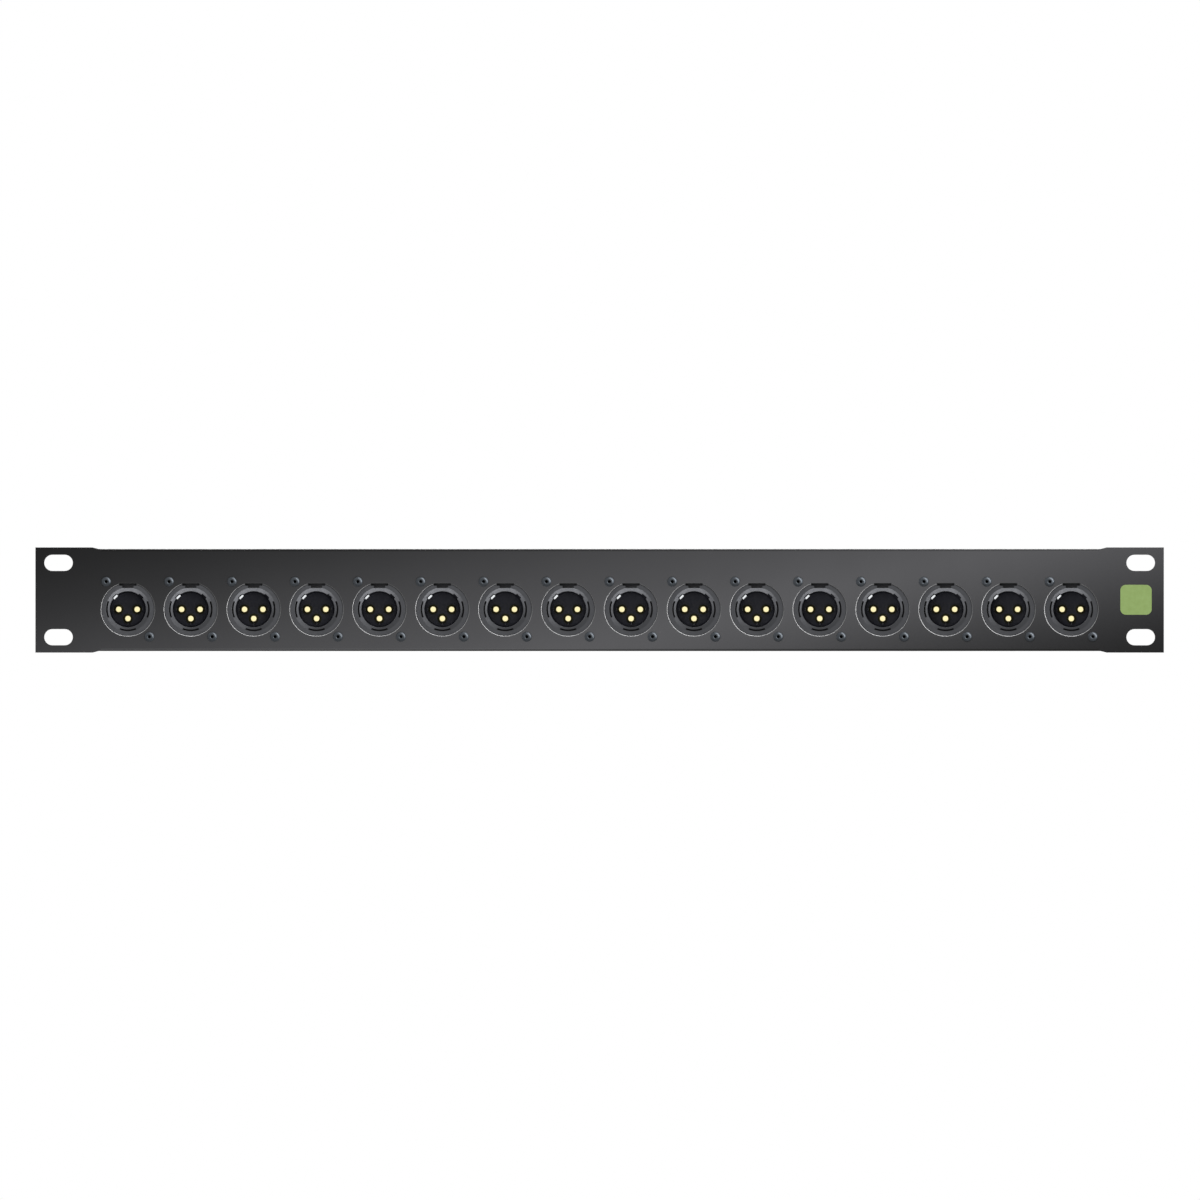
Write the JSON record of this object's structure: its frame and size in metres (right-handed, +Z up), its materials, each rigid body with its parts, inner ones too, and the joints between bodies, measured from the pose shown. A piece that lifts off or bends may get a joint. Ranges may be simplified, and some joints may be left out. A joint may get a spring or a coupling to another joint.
{
  "type": "rack patch panel",
  "caption": "Rack-width audio patch panel: a folded steel front with a row of male chassis connectors riveted behind it, for joining balanced audio lines.",
  "frame": {"origin": "centre of the rack-mounting plane: the back face of the ears, half way along and half way up the panel", "axes": "+X along the panel to the right as seen from the front, +Z up, the front faces -Y and the connectors reach back along +Y"},
  "size_m": [0.4826, 0.0249, 0.045],
  "materials": {
    "panel_paint": "satin",
    "shell_metal": "satin",
    "insert_plastic": "matte",
    "contact_metal": "polished",
    "pin_gold": "polished",
    "rivet_steel": "satin",
    "print_green": "satin",
    "print_pale": "satin"
  },
  "bodies": {
    "root": {"front_panel": "panel_paint", "connector_shell_01": "shell_metal", "connector_insert_01": "insert_plastic", "ground_contact_01": "contact_metal", "connector_shell_02": "shell_metal", "connector_insert_02": "insert_plastic", "ground_contact_02": "contact_metal", "connector_shell_03": "shell_metal", "connector_insert_03": "insert_plastic", "ground_contact_03": "contact_metal", "connector_shell_04": "shell_metal", "connector_insert_04": "insert_plastic", "ground_contact_04": "contact_metal", "connector_shell_05": "shell_metal", "connector_insert_05": "insert_plastic", "ground_contact_05": "contact_metal", "connector_shell_06": "shell_metal", "connector_insert_06": "insert_plastic", "ground_contact_06": "contact_metal", "connector_shell_07": "shell_metal", "connector_insert_07": "insert_plastic", "ground_contact_07": "contact_metal", "connector_shell_08": "shell_metal", "connector_insert_08": "insert_plastic", "ground_contact_08": "contact_metal", "connector_shell_09": "shell_metal", "connector_insert_09": "insert_plastic", "ground_contact_09": "contact_metal", "connector_shell_10": "shell_metal", "connector_insert_10": "insert_plastic", "ground_contact_10": "contact_metal", "connector_shell_11": "shell_metal", "connector_insert_11": "insert_plastic", "ground_contact_11": "contact_metal", "connector_shell_12": "shell_metal", "connector_insert_12": "insert_plastic", "ground_contact_12": "contact_metal", "connector_shell_13": "shell_metal", "connector_insert_13": "insert_plastic", "ground_contact_13": "contact_metal", "connector_shell_14": "shell_metal", "connector_insert_14": "insert_plastic", "ground_contact_14": "contact_metal", "connector_shell_15": "shell_metal", "connector_insert_15": "insert_plastic", "ground_contact_15": "contact_metal", "connector_shell_16": "shell_metal", "connector_insert_16": "insert_plastic", "ground_contact_16": "contact_metal"}
  },
  "joints": []
}
